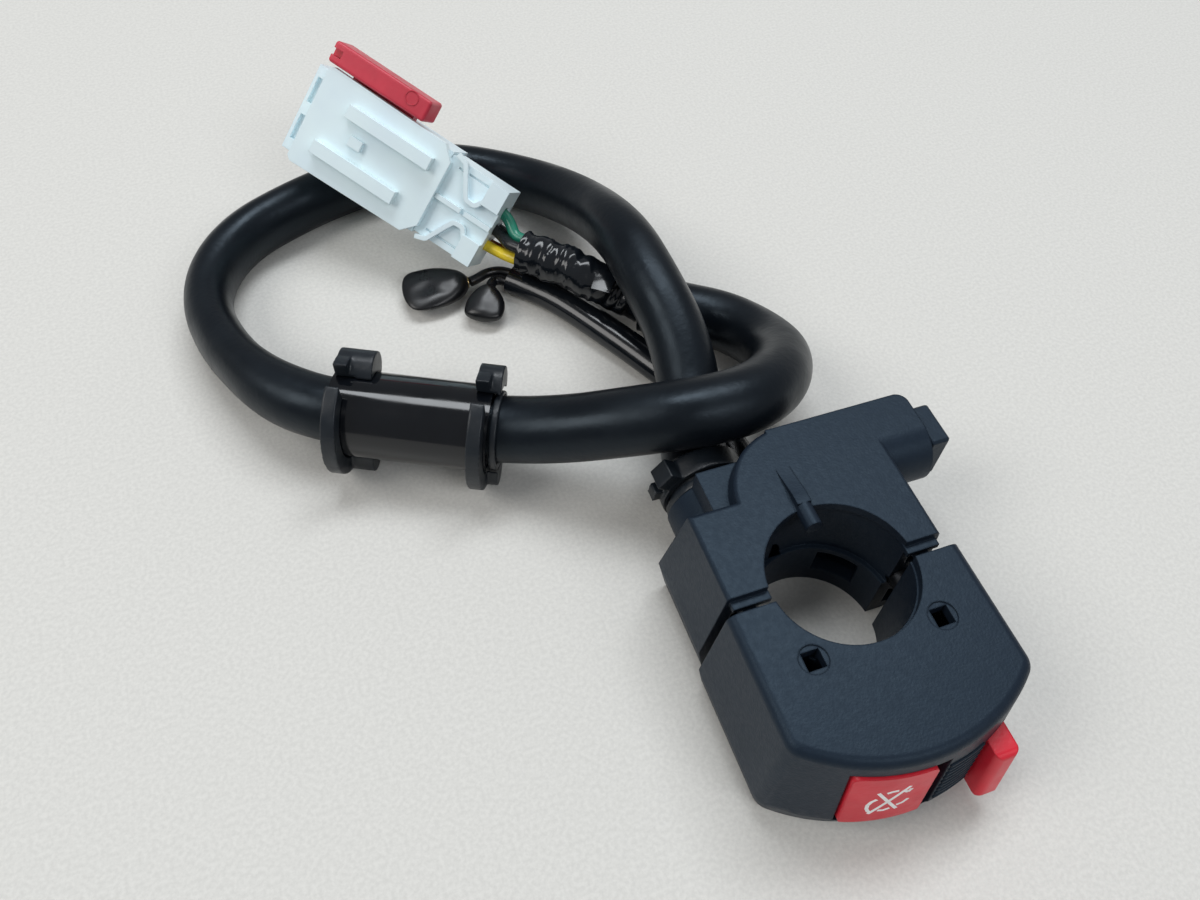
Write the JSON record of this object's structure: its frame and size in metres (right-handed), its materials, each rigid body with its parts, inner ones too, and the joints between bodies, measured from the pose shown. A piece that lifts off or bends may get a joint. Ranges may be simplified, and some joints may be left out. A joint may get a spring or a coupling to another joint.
{
  "type": "handlebar switch cluster",
  "caption": "Two-piece clamp-on handlebar switch housing with a red engine stop rocker, a throttle cable boss, a looped wiring harness with its plug, and a brake switch lead.",
  "frame": {"origin": "on the handlebar's axis, at the housing's lower end face, which stands on the surface", "axes": "+Z along the handlebar's axis towards the face with the locating peg, +Y towards the rear half with the harness outlet, +X towards the throttle cable boss"},
  "size_m": [0.1143, 0.164, 0.0375],
  "materials": {
    "housing_black": "fine-grained moulded black",
    "switch_red": "moulded red",
    "lock_red": "moulded red",
    "cord_black": "matt sheath",
    "sleeve_black": "shiny tube",
    "clip_black": "moulded black",
    "tape_black": "wrinkled tape",
    "lead_black": "shiny soft tube",
    "boot_black": "shiny soft rubber",
    "plug_pale": "pale blue-white",
    "wire_yellow": "insulation",
    "wire_green": "insulation",
    "wire_black": "insulation",
    "wire_brown": "insulation",
    "steel": "zinc plated",
    "brass": "plated",
    "base_plastic": "moulded"
  },
  "bodies": {
    "housing": {"rear_housing": "housing_black", "switch_housing": "housing_black", "cable_guide": "housing_black", "rocker_pin": "steel", "fixed_contacts": "brass", "contact_base": "base_plastic", "base_screws": "steel", "clamp_screw": "steel", "clamp_nut": "steel", "cord_grommet": "clip_black", "cord_tie": "clip_black", "switch_wires": "wire_black", "harness_cord": "cord_black", "cord_sleeve": "sleeve_black", "clip_left": "clip_black", "clip_right": "clip_black", "cord_ring": "clip_black", "tape_wrap": "tape_black", "wire_yellow": "wire_yellow", "wire_green": "wire_green", "wire_black": "wire_black", "wire_brown": "wire_brown", "connector_housing": "plug_pale", "connector_retainer": "plug_pale", "terminal_carrier": "plug_pale", "terminals": "brass", "brake_lead": "lead_black", "lead_tails": "wire_black", "boot_long": "boot_black", "boot_short": "boot_black", "lead_spades": "brass"},
    "rocker": {"kill_rocker": "switch_red", "moving_contact": "brass", "detent_plunger": "steel", "detent_spring": "steel"},
    "lock": {"connector_lock": "lock_red"}
  },
  "joints": [
    {"name": "rocker_hinge", "type": "hinge", "parent": "housing", "child": "rocker", "pos_m": [0.0042, -0.0236, 0.0117], "axis": [0, 0, 1], "range_deg": [0, 12]},
    {"name": "plug_lock_slide", "type": "slide", "parent": "housing", "child": "lock", "axis": [0.6431, -0.7131, -0.279], "range_m": [0, 0.004]}
  ]
}
